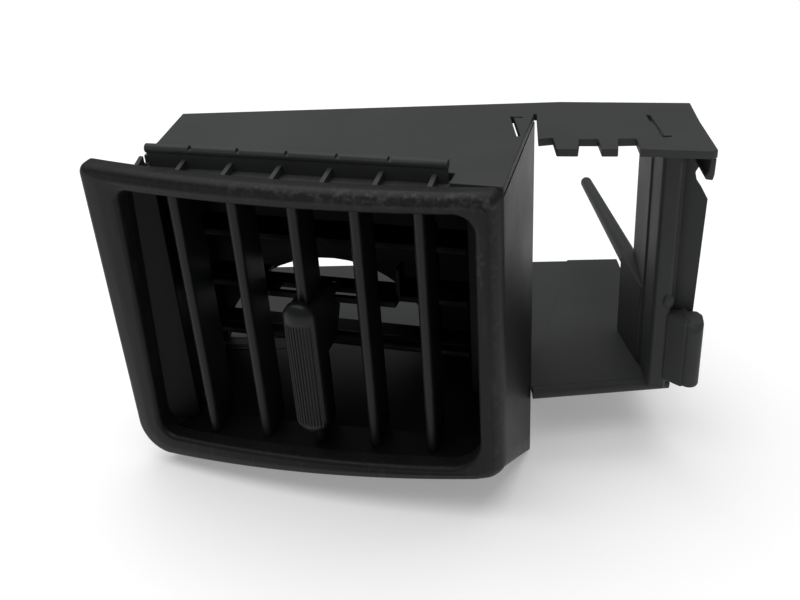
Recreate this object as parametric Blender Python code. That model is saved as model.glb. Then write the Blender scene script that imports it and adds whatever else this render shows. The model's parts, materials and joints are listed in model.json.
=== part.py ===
"""Car dashboard air vent with a switch pocket moulded on its right-hand side.

Drawing coordinates are millimetres: x to the right, y to the back, z up. Their datum is the corner
where the vent's right cheek meets the top plate. The vent itself is turned about the vertical, so
its own pieces are drawn in vent coordinates: s along the mouth, d into the duct, z up.
"""
import math

import bmesh
import bpy
from mathutils import Matrix, Vector

MM = 0.001
GAP = 0.3

# Overall layout: the datum's place in the world puts the world origin under the middle of the box.
DATUM = Vector((33.15, -28.15, 88.0))
MOUTH_CENTRE = Vector((-57.6, -13.1, 0.0))
VENT_YAW = math.radians(-14.0)
PLATE = 2.0
TRAY_TOP = -70.0

# Bezel: half width, convex front, outline corners and depth of the ring.
HALF_WIDTH = 50.0
FRONT_AT_CENTRE = -2.4
FRONT_LEAN = -0.026
FRONT_BULGE = 4.3
RING_DEPTH = 4.6
OUTER_CORNERS = [(-52.0, 0.0, 3.5), (50.5, 0.0, 2.5), (50.5, -76.4, 4.0), (-52.0, -84.6, 9.0)]
INNER_CORNERS = [(-41.6, -5.4, 3.0), (44.8, -4.9, 4.5), (44.8, -73.0, 8.0), (-43.8, -77.4, 4.5)]
EDGE_STEPS = [9, 3, 9, 3]
STRIP_STEPS = 8
CORNER_STEPS = 5

# Front vanes: five upright blades on one link bar.
VANE_PITCH = 15.1
VANE_COUNT = 5
VANE_MIDDLE = 1.0
VANE_PIVOT = 4.0
VANE_NOSE = 1.4
VANE_TAIL = 0.6
VANE_CHORD_FRONT = 2.0
VANE_CHORD_BACK = 8.4
VANE_TOP = -6.1
CRANK = 7.6
NOTCH_REACH = 2.9
LINK_TOP = -7.4
LINK_BOTTOM = -9.2
PIN_RADIUS = 0.9
PIN_CLEARANCE = 0.3

# Rear vanes: three level blades whose bar is moved by the knob's fork.
BLADE_PIVOT = 21.0
BLADE_HEIGHTS = [-24.8, -39.5, -54.3]
BLADE_LEFT = -36.0
BLADE_RIGHT = 37.6
BLADE_THICK = 1.5
AXLE_RADIUS = 1.1
AXLE_END = 1.6
BLADE_FRONT = -4.0
BLADE_BACK = 7.0
BAR_FRONT = -7.0
BAR_THICK = 1.5
EAR_AT = 20.0
EAR_TOP = 8.2
REAR_LINK_AT = 27.0
REAR_CRANK = 5.4

# Thumb knob on the middle vane.
KNOB_TOP = -31.7
KNOB_BOTTOM = -69.7
KNOB_HALF_WIDTH = 4.6
KNOB_BACK = -4.9
KNOB_FRONT = -8.2
GROOVES = 9

# Duct: the arch in the back wall takes a 60 mm hose.
ARCH_RADIUS = 30.3
ARCH_CENTRE = Vector((-57.5, -72.6))
BACK_LEFT = Vector((-90.3, 29.4))
BACK_RIGHT = Vector((-4.4, 25.8))
WALL = 1.8
RIGHT_WALL_FRONT = Vector((-12.4, -18.6))
RIGHT_WALL_BACK = Vector((-12.0, 25.3))

HOUSING = Matrix.Scale(MM, 4) @ Matrix.Translation(DATUM)
VENT = HOUSING @ Matrix.Translation(MOUTH_CENTRE) @ Matrix.Rotation(VENT_YAW, 4, "Z")

# Colours as linear red, green, blue, then roughness.
FINISHES = {
    "bezel_plastic": ((0.018, 0.018, 0.019), 0.50),
    "shell_plastic": ((0.033, 0.034, 0.035), 0.62),
    "inner_plastic": ((0.010, 0.010, 0.011), 0.55),
    "vane_plastic": ((0.021, 0.022, 0.024), 0.45),
    "knob_plastic": ((0.026, 0.027, 0.029), 0.42),
    "brake_rubber": ((0.012, 0.012, 0.012), 0.85),
}


# ---------------------------------------------------------------- helpers
def clear_scene():
    """Remove every object that is already in the scene."""
    for old in list(bpy.data.objects):
        bpy.data.objects.remove(old, do_unlink=True)


def finish(name):
    """The named moulded finish, made once."""
    material = bpy.data.materials.get(name)
    if material is None:
        colour, roughness = FINISHES[name]
        material = bpy.data.materials.new(name)
        material.use_nodes = True
        shader = material.node_tree.nodes["Principled BSDF"]
        shader.inputs["Base Color"].default_value = (*colour, 1.0)
        shader.inputs["Roughness"].default_value = roughness
        shader.inputs["Metallic"].default_value = 0.0
    return material


def metres_frame(frame):
    """The frame's own turn and place, without the millimetre scale."""
    place = frame.to_translation()
    turn = frame.to_quaternion().to_matrix().to_4x4()
    return Matrix.Translation(place) @ turn


def add_piece(name, bm, material, frame=HOUSING, smooth=35.0):
    """Turn a bmesh drawn in millimetres into a named object that sits at its frame."""
    bmesh.ops.remove_doubles(bm, verts=bm.verts, dist=0.0005)
    bmesh.ops.recalc_face_normals(bm, faces=bm.faces)
    bmesh.ops.scale(bm, vec=(MM, MM, MM), verts=bm.verts)
    mesh = bpy.data.meshes.new(name)
    bm.to_mesh(mesh)
    bm.free()
    mesh.materials.append(finish(material))
    mesh.shade_smooth()
    mesh.set_sharp_from_angle(angle=math.radians(smooth))
    piece = bpy.data.objects.new(name, mesh)
    bpy.context.collection.objects.link(piece)
    piece.matrix_world = metres_frame(frame)
    return piece


def combine(piece, bm, operation, label):
    """Join a tool drawn in the piece's own frame to it, or cut the tool out of it."""
    tool = add_piece(piece.name + "_" + label, bm, piece.data.materials[0].name)
    tool.matrix_world = piece.matrix_world
    tool.hide_render = True
    tool.display_type = "WIRE"
    step = piece.modifiers.new(label, "BOOLEAN")
    step.operation = operation
    step.solver = "EXACT"
    step.object = tool
    return tool


def fuse(piece, bm, label):
    """Union a tool with the piece."""
    return combine(piece, bm, "UNION", label)


def cut(piece, bm, label):
    """Cut a tool out of the piece."""
    return combine(piece, bm, "DIFFERENCE", label)


def prism(bm, outline, offset):
    """Extrude a closed outline of points by an offset, into one closed body."""
    corners = [bm.verts.new(point) for point in outline]
    base = bm.faces.new(corners)
    made = bmesh.ops.extrude_face_region(bm, geom=[base])
    top = [item for item in made["geom"] if isinstance(item, bmesh.types.BMVert)]
    bmesh.ops.translate(bm, vec=offset, verts=top)
    bmesh.ops.recalc_face_normals(bm, faces=bm.faces)
    return corners + top


def slab(outline, low, high):
    """A flat plate: an outline in x and y between two heights."""
    bm = bmesh.new()
    prism(bm, [Vector((x, y, low)) for x, y in outline], Vector((0, 0, high - low)))
    return bm


def upright(outline, near, far):
    """A standing plate: an outline in x and z between two depths."""
    bm = bmesh.new()
    prism(bm, [Vector((x, near, z)) for x, z in outline], Vector((0, far - near, 0)))
    return bm


def block(x_span, y_span, z_span):
    """A rectangular block between two corners."""
    outline = rectangle(x_span[0], x_span[1], y_span[0], y_span[1])
    return slab(outline, z_span[0], z_span[1])


def rectangle(left, right, front, back):
    """Corners of a rectangle."""
    return [(left, front), (right, front), (right, back), (left, back)]


def rod(start, end, radius_start, radius_end=None, segments=20):
    """A round rod or cone between two points."""
    start = Vector(start)
    end = Vector(end)
    bm = bmesh.new()
    bmesh.ops.create_cone(bm, cap_ends=True, segments=segments, radius1=radius_start,
                          radius2=radius_end or radius_start, depth=(end - start).length)
    turn = (end - start).to_track_quat("Z", "Y").to_matrix().to_4x4()
    bmesh.ops.transform(bm, matrix=Matrix.Translation((start + end) / 2) @ turn, verts=bm.verts)
    return bm


def arc(centre, radius, start, end, steps):
    """Points on an arc, from one angle in degrees to another."""
    points = []
    for step in range(steps + 1):
        angle = math.radians(start + (end - start) * step / steps)
        points.append((centre[0] + radius * math.cos(angle), centre[1] + radius * math.sin(angle)))
    return points


def merged(*parts):
    """Copy several bmeshes that don't touch into one."""
    whole = bmesh.new()
    for part in parts:
        keep = bpy.data.meshes.new("keep")
        part.to_mesh(keep)
        part.free()
        whole.from_mesh(keep)
        bpy.data.meshes.remove(keep)
    return whole


def lofted(rows):
    """A closed body through rows of points, capped at both ends."""
    bm = bmesh.new()
    loops = [[bm.verts.new(point) for point in row] for row in rows]
    for here, there in zip(loops, loops[1:]):
        for i in range(len(here)):
            bm.faces.new((here[i - 1], here[i], there[i], there[i - 1]))
    bm.faces.new(loops[0])
    bm.faces.new(loops[-1])
    return bm


def vent_to_drawing(s, d):
    """A point of the vent's plan, in the drawing's x and y."""
    point = Matrix.Rotation(VENT_YAW, 4, "Z") @ Vector((s, d, 0)) + MOUTH_CENTRE
    return (point.x, point.y)


def drawing_to_vent(x, y):
    """A point of the drawing's plan, in the vent's s and d."""
    point = Matrix.Rotation(-VENT_YAW, 4, "Z") @ (Vector((x, y, 0)) - MOUTH_CENTRE)
    return (point.x, point.y)


# ---------------------------------------------------------------- bezel
def front_at(s):
    """Depth of the bezel's convex front face at s."""
    return FRONT_AT_CENTRE + FRONT_LEAN * s - FRONT_BULGE * (1 - (s / HALF_WIDTH) ** 2)


def sill_at(s):
    """Height of the mouth's lower edge at s."""
    left_s, left_z = INNER_CORNERS[3][0], INNER_CORNERS[3][1]
    right_s, right_z = INNER_CORNERS[2][0], INNER_CORNERS[2][1]
    return left_z + (s - left_s) * (right_z - left_z) / (right_s - left_s)


def rounded_outline(corners, inset):
    """Outline of a frame in s and z: rounded corners joined by stepped edges, moved inwards by inset."""
    centre_s = sum(corner[0] for corner in corners) / len(corners)
    centre_z = sum(corner[1] for corner in corners) / len(corners)
    arcs = []
    for index, (s, z, radius) in enumerate(corners):
        side_s = 1 if s < centre_s else -1
        side_z = 1 if z < centre_z else -1
        turn_radius = max(radius - inset, 0.4)
        middle = (s + side_s * (inset + turn_radius), z + side_z * (inset + turn_radius))
        first = 180 - 90 * index
        arcs.append(arc(middle, turn_radius, first, first - 90, CORNER_STEPS))
    outline = []
    for index, points in enumerate(arcs):
        outline += points
        start = Vector(points[-1])
        end = Vector(arcs[(index + 1) % len(arcs)][0])
        for step in range(1, EDGE_STEPS[index]):
            outline.append(tuple(start.lerp(end, step / EDGE_STEPS[index])))
    return outline


def make_bezel():
    """The convex front frame, lofted through nine rings from its back, round its front, to its back."""
    rings = [
        (OUTER_CORNERS, 0.9, RING_DEPTH),
        (OUTER_CORNERS, 0.0, 3.4),
        (OUTER_CORNERS, 0.2, 1.3),
        (OUTER_CORNERS, 0.9, 0.4),
        (OUTER_CORNERS, 2.2, 0.0),
        (INNER_CORNERS, -1.5, 0.1),
        (INNER_CORNERS, -0.5, 0.6),
        (INNER_CORNERS, 0.0, 1.6),
        (INNER_CORNERS, 0.2, RING_DEPTH),
    ]
    bm = bmesh.new()
    loops = []
    for corners, inset, depth in rings:
        outline = rounded_outline(corners, inset)
        loops.append([bm.verts.new((s, front_at(s) + depth, z)) for s, z in outline])
    for index in range(len(loops)):
        near = loops[index]
        far = loops[(index + 1) % len(loops)]
        for i in range(len(near)):
            bm.faces.new((near[i - 1], near[i], far[i], far[i - 1]))
    return add_piece("front_bezel", bm, "bezel_plastic", VENT)


def ruled_panel(corners, thickness, steps=6):
    """A thin panel between four corners, given as front top, back top, back bottom, front bottom."""
    front_top, back_top, back_bottom, front_bottom = [Vector(corner) for corner in corners]
    rows = []
    bm = bmesh.new()
    for side in (Vector((0, 0, 0)), Vector(thickness)):
        row = []
        for step in range(steps + 1):
            part = step / steps
            upper = front_top.lerp(back_top, part) + side
            lower = front_bottom.lerp(back_bottom, part) + side
            row.append((bm.verts.new(upper), bm.verts.new(lower)))
        rows.append(row)
    outer, inner = rows
    for i in range(steps):
        bm.faces.new((outer[i][0], outer[i + 1][0], outer[i + 1][1], outer[i][1]))
        bm.faces.new((inner[i][1], inner[i + 1][1], inner[i + 1][0], inner[i][0]))
        bm.faces.new((outer[i][0], inner[i][0], inner[i + 1][0], outer[i + 1][0]))
        bm.faces.new((outer[i + 1][1], inner[i + 1][1], inner[i][1], outer[i][1]))
    for i in (0, steps):
        bm.faces.new((outer[i][0], outer[i][1], inner[i][1], inner[i][0]))
    return bm


def cheek_front():
    """Plan point where the cheek meets the back of the bezel."""
    return vent_to_drawing(50.3, front_at(50.0) + RING_DEPTH + GAP)


def make_cheek():
    """The right cheek behind the bezel, whose foot runs down below the tray."""
    top = -PLATE - GAP
    front_x, front_y = cheek_front()
    corners = [(front_x, front_y, top), (1.2, 20.0, top), (-1.2, -1.2, -88.0), (front_x, front_y, -78.3)]
    return add_piece("side_cheek", ruled_panel(corners, (-2.1, 0.5, 0)), "bezel_plastic")


def make_skirt():
    """The sloping panel under the vent, from the bezel's lower edge back to the cheek's foot."""
    rows = []
    for step in range(STRIP_STEPS + 1):
        s = -50.0 + 97.0 * step / STRIP_STEPS
        lower_edge = OUTER_CORNERS[3][1] + (s - OUTER_CORNERS[3][0]) * 8.2 / 102.5
        front_d = front_at(s) + RING_DEPTH + GAP
        rows.append([(s, front_d, lower_edge + 1.2), (s, 22.0, -86.4), (s, 22.0, -88.0),
                     (s, front_d, lower_edge - 0.4)])
    return add_piece("under_skirt", lofted(rows), "bezel_plastic", VENT)


# ---------------------------------------------------------------- housing shells
def make_top_plate():
    """The top plate over the vent and the pocket, with its toothed front edge and two L-shaped slots."""
    outline = [
        (-90.0, 31.6), (-91.6, 11.7), vent_to_drawing(-38.0, 7.0), vent_to_drawing(38.4, 7.0),
        vent_to_drawing(38.4, 1.6), cheek_front(), (1.1, 19.8),
        (1.6, 19.8), (0.7, 2.5), (4.1, 3.0), (4.3, -4.1), (9.1, -4.7), (10.1, 1.5), (14.2, 1.0),
        (14.3, -5.3), (17.9, -5.7), (18.8, 0.5), (22.8, 0.3), (22.7, -6.2), (38.0, -9.5),
        (39.2, -8.6), (39.0, 9.4), (39.4, 22.4), (8.1, 27.5),
    ]
    piece = add_piece("top_plate", slab(outline, -PLATE, 0.0), "shell_plastic")
    right_slot = [(27.5, 15.5), (28.3, 0.1), (31.0, 0.5), (31.0, 1.4), (29.2, 1.2), (28.4, 15.5)]
    left_slot = [(-4.9, 18.6), (-4.1, 4.9), (-3.3, 4.9), (-4.1, 17.6), (-1.9, 17.0), (-1.9, 17.9)]
    cut(piece, merged(slab(right_slot, -3, 1), slab(left_slot, -3, 1)), "l_slots")
    return piece


def make_top_rail():
    """The clip rail above the bezel: a trough floor, a beaded rail and a row of gusset ribs."""
    floor_front = [(s, front_at(s) + RING_DEPTH + GAP) for s in (-38.0, -20.0, 0.0, 20.0, 37.9)]
    floor = floor_front + [(37.9, 6.6), (-38.0, 6.6)]
    piece = add_piece("top_rail", slab(floor, -3.2, -1.7), "shell_plastic", VENT)
    fuse(piece, block((-35.4, 37.2), (4.5, 6.1), (-2.4, 2.6)), "rail")
    bead = rod((-35.8, 5.3, 2.6), (37.4, 5.3, 2.6), 1.15, segments=14)
    fuse(piece, bead, "bead")
    ribs = []
    for index in range(7):
        s = -38.0 + 0.6 if index == 0 else -26.0 + 12.1 * (index - 1)
        start = front_at(s) + RING_DEPTH + 0.6
        side = [(start, -2.4), (5.0, -2.4), (5.0, 0.6), (start + 0.8, -0.3), (start, -0.6)]
        bm = bmesh.new()
        prism(bm, [Vector((s - 0.55, d, z)) for d, z in side], Vector((1.1, 0, 0)))
        ribs.append(bm)
    fuse(piece, merged(*ribs), "ribs")
    notches = [block((s - 0.5, s + 0.5), (3.9, 6.8), (2.9, 4.4)) for s in (-24, -11.9, 0.2, 12.3, 24.4)]
    cut(piece, merged(*notches), "notches")
    return piece


def make_tray():
    """The bottom plate: pocket floor and hose tray, with a rolled front lip and a low step."""
    outline = [(-0.6, 2.6), (36.2, 6.0), (34.2, 30.0), (31.9, 73.0), (-90.2, 76.6), (-90.2, 32.6),
               (-3.6, 28.9), (0.2, 20.6), (-0.9, 8.0)]
    piece = add_piece("lower_tray", slab(outline, TRAY_TOP - PLATE, TRAY_TOP), "shell_plastic")
    lip = rod((-0.3, 2.6, TRAY_TOP - 1.9), (36.0, 6.0, TRAY_TOP - 1.9), 1.8, segments=20)
    fuse(piece, lip, "lip")
    lowered = [(-0.4, 6.5), (15.6, 69.2), (16.6, 80.0), (-95.0, 80.0), (-95.0, 20.0), (-5.0, 6.5)]
    cut(piece, slab(lowered, TRAY_TOP - 0.4, TRAY_TOP + 2), "step")
    return piece


def strip_plan(start, end, thickness, side):
    """Plan of a straight wall from start to end, with its thickness on the given side."""
    start = Vector(start)
    end = Vector(end)
    along = (end - start).normalized()
    across = Vector((-along.y, along.x)) * thickness * side
    return [tuple(start), tuple(end), tuple(end + across), tuple(start + across)]


def make_left_wall():
    """The duct's left wall: straight under the plate's edge, then flared out to the bezel."""
    plan = [(-90.6, 29.0), (-92.8, 3.6), (-99.6, 1.4), (-99.15, 0.1), (-91.4, 2.5), (-89.2, 29.0)]
    piece = add_piece("duct_left_wall", slab(plan, -76.9, -PLATE - GAP), "inner_plastic")
    cut(piece, block((-105.0, -85.0), (-5.0, 4.2), (-3.6, 0.0)), "rail_seat")


def make_right_wall():
    """The duct's right wall, from the mouth's edge straight back."""
    plan = strip_plan(RIGHT_WALL_FRONT, RIGHT_WALL_BACK, WALL, -1)
    add_piece("duct_right_wall", slab(plan, -76.0, -PLATE - GAP), "inner_plastic")


def make_back_wall():
    """The duct's back wall, with the arch and the collar that the hose fits over."""
    plan = strip_plan(BACK_LEFT, BACK_RIGHT, WALL, 1)
    piece = add_piece("duct_back_wall", slab(plan, TRAY_TOP + GAP, -PLATE - GAP), "inner_plastic")
    collar = arc(ARCH_CENTRE, ARCH_RADIUS + WALL, 0, 360, 48)[:-1]
    fuse(piece, upright(collar, 29.2, 33.8), "collar")
    cut(piece, upright(arc(ARCH_CENTRE, ARCH_RADIUS, 0, 360, 48)[:-1], 20.0, 40.0), "arch")
    cut(piece, block((-100.0, 5.0), (20.0, 40.0), (-110.0, TRAY_TOP + GAP)), "foot")


def make_duct_floor():
    """The sloping floor between the mouth's sill and the tray."""
    rows = []
    for step in range(STRIP_STEPS + 1):
        part = step / STRIP_STEPS
        s = -36.5 + 80.5 * part
        front_z = sill_at(s) - 1.2
        back = BACK_LEFT.lerp(BACK_RIGHT, 0.02 + 0.88 * part)
        far = drawing_to_vent(back.x, back.y - 0.6)
        rows.append([(s, 9.2, front_z), (*far, TRAY_TOP - 0.1), (*far, TRAY_TOP - 1.7), (s, 9.2, front_z - 1.6)])
    return add_piece("duct_floor", lofted(rows), "inner_plastic", VENT)


# ---------------------------------------------------------------- switch pocket
def make_pocket_wall():
    """The pocket's right end wall, a channel with guide ridges that carries the switch."""
    outline = [
        (29.4, 1.4), (30.0, 0.4), (33.2, -0.6), (33.8, 0.0), (34.2, 2.6), (36.0, 3.0), (36.0, 5.0),
        (33.6, 5.2), (31.4, 7.0), (31.0, 28.6), (28.9, 28.6), (28.9, 12.0), (29.4, 11.4),
    ]
    return add_piece("pocket_end_wall", slab(outline, TRAY_TOP + GAP, -PLATE - GAP), "shell_plastic")


def make_hook():
    """The lip that folds down from the top plate's right end and hooks inwards."""
    outline = [(39.2, -2.3), (39.1, -6.2), (38.8, -7.6), (37.2, -7.3), (36.8, -6.4), (37.5, -5.9),
               (37.8, -5.0), (37.9, -2.3)]
    return add_piece("hook_lip", upright(outline, -8.2, 21.0), "shell_plastic")


def make_outer_rail():
    """The tapering rail outside the end wall, from under the hook down to the lug."""
    outline = [(36.3, -9.2), (37.0, -9.6), (37.6, -11.6), (38.9, -13.4), (40.3, -16.0), (39.4, -45.4),
               (36.3, -45.4)]
    return add_piece("outer_rail", upright(outline, 0.4, 2.2), "shell_plastic")


def make_lug():
    """The rounded lug low on the pocket's outer corner, on its web."""
    plan = arc((39.0, -3.4), 2.4, -180, 0, 12) + [(41.4, -1.4), (40.4, 0.6), (36.6, 0.6)]
    piece = add_piece("retaining_lug", slab(plan, -66.0, -46.6), "shell_plastic")
    side = [(-6.4, -70.0), (3.0, -70.0), (3.0, -45.0), (-1.6, -46.4), (-4.4, -47.6), (-5.8, -49.4), (-6.4, -52.0)]
    crown = bmesh.new()
    prism(crown, [Vector((30.0, y, z)) for y, z in side], Vector((14.0, 0, 0)))
    combine(piece, crown, "INTERSECT", "crown")
    fuse(piece, block((36.6, 38.4), (0.0, 5.6), (-66.0, -46.6)), "web")
    return piece


def make_peg():
    """The long tapered locating peg behind the pocket's end wall."""
    return add_piece("locating_peg", peg_body(), "shell_plastic")


def peg_body():
    """A tapered round peg with a domed tip."""
    start = Vector((28.2, 29.2, -47.0))
    tip = Vector((22.6, 83.2, -47.0))
    bm = rod(start, tip, 2.5, 1.75, segments=20)
    dome = bmesh.new()
    bmesh.ops.create_uvsphere(dome, u_segments=20, v_segments=10, radius=1.7)
    bmesh.ops.translate(dome, vec=tip, verts=dome.verts)
    piece = add_piece("peg_blank", bm, "shell_plastic")
    fuse(piece, dome, "tip")
    shape = evaluated(piece)
    for item in list(bpy.data.objects):
        if item.name.startswith("peg_blank"):
            bpy.data.objects.remove(item, do_unlink=True)
    return shape


def evaluated(piece):
    """The piece after its modifiers, as a bmesh in millimetres in its own frame."""
    bpy.context.view_layer.update()
    graph = bpy.context.evaluated_depsgraph_get()
    bm = bmesh.new()
    bm.from_object(piece, graph)
    bmesh.ops.scale(bm, vec=(1 / MM, 1 / MM, 1 / MM), verts=bm.verts)
    return bm


# ---------------------------------------------------------------- front vanes
def vane_place(index):
    """Where the vane's upright axis stands along the mouth."""
    return VANE_MIDDLE + VANE_PITCH * (index - (VANE_COUNT - 1) / 2)


def pivot_frame(s, d, z=0.0):
    """A frame at a point of the vent, turned with the vent."""
    return VENT @ Matrix.Translation((s, d, z))


def vane_plan():
    """Plan of a vane about its axis: a round nose that tapers to a thin tail."""
    nose = arc((0.0, -VANE_CHORD_FRONT), VANE_NOSE, 0, -180, 8)
    tail = arc((0.0, VANE_CHORD_BACK), VANE_TAIL, 180, 0, 4)
    return nose + [(-1.05, 1.0)] + tail + [(1.05, 1.0)]


def make_front_vane(index):
    """One upright vane with its two trunnions and its link pin."""
    s = vane_place(index)
    foot = sill_at(s) + 0.4
    piece = add_piece("front_vane_%d" % (index + 1), slab(vane_plan(), foot, VANE_TOP),
                      "vane_plastic", pivot_frame(s, VANE_PIVOT))
    fuse(piece, rod((0, 0, foot - 2.4), (0, 0, VANE_TOP + 2.4), PIN_RADIUS, segments=16), "trunnions")
    notch = block((-3, 3), (CRANK - NOTCH_REACH, CRANK + 3), (LINK_BOTTOM - 0.5, VANE_TOP + 3))
    cut(piece, notch, "notch")
    fuse(piece, rod((0, CRANK, LINK_BOTTOM - 3), (0, CRANK, LINK_TOP + 0.6), 0.55, segments=12), "pin")
    return piece


def make_front_link():
    """The bar that ties the five front vanes together behind the mouth's upper edge."""
    left = vane_place(0) - 2.4
    right = vane_place(VANE_COUNT - 1) + 2.4
    bar = block((left, right), (-1.7, 1.7), (LINK_BOTTOM, LINK_TOP))
    middle = vane_place(2)
    bmesh.ops.translate(bar, vec=(-middle, 0, 0), verts=bar.verts)
    piece = add_piece("front_link_bar", bar, "inner_plastic", pivot_frame(middle, VANE_PIVOT + CRANK))
    holes = []
    for index in range(VANE_COUNT):
        s = vane_place(index) - middle
        holes.append(rod((s, 0, LINK_BOTTOM - 1), (s, 0, LINK_TOP + 1), 0.55 + PIN_CLEARANCE, segments=12))
    cut(piece, merged(*holes), "holes")
    return piece


def make_pivot_strips():
    """Upper and lower bearing strips for the front vanes' trunnions."""
    upper = block((-36.2, 44.4), (2.3, 6.4), (-5.7, -3.6))
    piece = add_piece("upper_pivot_strip", upper, "inner_plastic", VENT)
    cut(piece, merged(*trunnion_holes(-8.0, 0.0)), "holes")
    rows = []
    for step in range(STRIP_STEPS + 1):
        s = -42.4 + 85.4 * step / STRIP_STEPS
        top = sill_at(s)
        front = front_at(s) + RING_DEPTH + GAP
        rows.append([(s, front, top), (s, 8.6, top), (s, 8.6, top - 2.2), (s, front, top - 2.2)])
    lower = add_piece("lower_pivot_strip", lofted(rows), "inner_plastic", VENT)
    cut(lower, merged(*trunnion_holes(-82.0, -70.0)), "holes")


def trunnion_holes(low, high):
    """Round holes on the five vane axes, as cutters."""
    radius = PIN_RADIUS + PIN_CLEARANCE
    return [rod((vane_place(i), VANE_PIVOT, low), (vane_place(i), VANE_PIVOT, high), radius, segments=16)
            for i in range(VANE_COUNT)]


# ---------------------------------------------------------------- rear vanes
def make_rear_vane(index):
    """One level blade about its axis; the middle one carries the bar that the knob's fork holds."""
    z = BLADE_HEIGHTS[index]
    thick = BLADE_THICK / 2
    side = [(BLADE_FRONT + 0.3, -thick), (BLADE_BACK, -thick + 0.3), (BLADE_BACK, thick - 0.3),
            (BLADE_FRONT + 0.3, thick), (BLADE_FRONT, 0.0)]
    bm = bmesh.new()
    prism(bm, [Vector((BLADE_LEFT, d, h)) for d, h in side], Vector((BLADE_RIGHT - BLADE_LEFT, 0, 0)))
    piece = add_piece("rear_vane_%d" % (index + 1), bm, "inner_plastic", pivot_frame(0, BLADE_PIVOT, z))
    axle = rod((BLADE_LEFT - AXLE_END, 0, 0), (BLADE_RIGHT + AXLE_END, 0, 0), AXLE_RADIUS, segments=16)
    fuse(piece, axle, "axle")
    slot = block((REAR_LINK_AT - 1.4, REAR_LINK_AT + 1.4), (REAR_CRANK - 2.2, 9), (-3, 3))
    cut(piece, slot, "link_slot")
    pin = rod((REAR_LINK_AT - 2.4, REAR_CRANK, 0), (REAR_LINK_AT + 2.4, REAR_CRANK, 0), 0.6, segments=12)
    fuse(piece, pin, "link_pin")
    if index == 1:
        add_control_bar(piece)
    return piece


def add_control_bar(piece):
    """The middle blade's cranked centre: two arms, the fork's bar, a back recess and two upright ears."""
    half = BAR_THICK / 2
    bar = block((-EAR_AT, EAR_AT), (BAR_FRONT, BAR_FRONT + 1.5), (-half, half))
    fuse(piece, bar, "bar")
    arms = [block((side * 16.5 - 3.6, side * 16.5 + 3.6), (BAR_FRONT + 0.4, 0.0), (-half, half))
            for side in (-1, 1)]
    fuse(piece, merged(*arms), "arms")
    cut(piece, block((-12.6, 14.6), (-5.5, -2.1), (-3, 3)), "fork_window")
    cut(piece, block((-18.6, 18.6), (3.4, 9), (-3, 3)), "back_recess")
    ear = [(-4.2, 0.0), (1.0, 0.0), (0.4, EAR_TOP), (-3.6, EAR_TOP)]
    ears = []
    for side in (-1, 1):
        bm = bmesh.new()
        prism(bm, [Vector((side * EAR_AT - 0.5, d, z)) for d, z in ear], Vector((1.0, 0, 0)))
        ears.append(bm)
    fuse(piece, merged(*ears), "ears")


def make_rear_link():
    """The upright bar that ties the three rear blades together behind them."""
    top = BLADE_HEIGHTS[0] + 2.0 - BLADE_HEIGHTS[1]
    bottom = BLADE_HEIGHTS[2] - 2.0 - BLADE_HEIGHTS[1]
    bar = block((-1.0, 1.0), (-1.6, 1.6), (bottom, top))
    frame = pivot_frame(REAR_LINK_AT, BLADE_PIVOT + REAR_CRANK, BLADE_HEIGHTS[1])
    piece = add_piece("rear_link_bar", bar, "inner_plastic", frame)
    holes = []
    for height in BLADE_HEIGHTS:
        z = height - BLADE_HEIGHTS[1]
        holes.append(rod((-2, 0, z), (2, 0, z), 0.6 + PIN_CLEARANCE, segments=12))
    cut(piece, merged(*holes), "holes")
    return piece


def make_blade_bearings():
    """Left and right bearing plates for the three rear blades."""
    for name, near, far in (("rear_bearing_left", -37.8, -36.3), ("rear_bearing_right", 37.9, 40.2)):
        plate = block((near, far), (18.5, 24.0), (-66.0, -12.0))
        piece = add_piece(name, plate, "inner_plastic", VENT)
        radius = AXLE_RADIUS + PIN_CLEARANCE
        holes = [rod((near - 1, BLADE_PIVOT, z), (far + 1, BLADE_PIVOT, z), radius, segments=16)
                 for z in BLADE_HEIGHTS]
        cut(piece, merged(*holes), "holes")


# ---------------------------------------------------------------- knob
def make_knob():
    """The grooved thumb knob in front of the middle vane."""
    frame = pivot_frame(vane_place(2), VANE_PIVOT)
    crown = []
    for step in range(2 * GROOVES + 1):
        x = KNOB_HALF_WIDTH - 0.5 - (2 * KNOB_HALF_WIDTH - 1.0) * step / (2 * GROOVES)
        swell = 1.0 - (x / KNOB_HALF_WIDTH) ** 2
        groove = 0.3 if step % 2 else 0.0
        crown.append((x, KNOB_FRONT + 1.3 * (1 - swell) + groove))
    plan = [(-KNOB_HALF_WIDTH, KNOB_BACK), (KNOB_HALF_WIDTH, KNOB_BACK),
            (KNOB_HALF_WIDTH, KNOB_FRONT + 2.0)] + crown + [(-KNOB_HALF_WIDTH, KNOB_FRONT + 2.0)]
    piece = add_piece("thumb_knob", slab(plan, KNOB_BOTTOM, KNOB_TOP), "knob_plastic", frame)
    corner = 3.2
    half = KNOB_HALF_WIDTH
    ends = [((half - corner, KNOB_TOP - corner), 0), ((-half + corner, KNOB_TOP - corner), 90),
            ((-half + corner, KNOB_BOTTOM + corner), 180), ((half - corner, KNOB_BOTTOM + corner), 270)]
    face = []
    for middle, first in ends:
        face += arc(middle, corner, first, first + 90, 6)
    combine(piece, upright(face, KNOB_FRONT - 3, KNOB_BACK + 3), "INTERSECT", "rounded_ends")
    return piece


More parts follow.
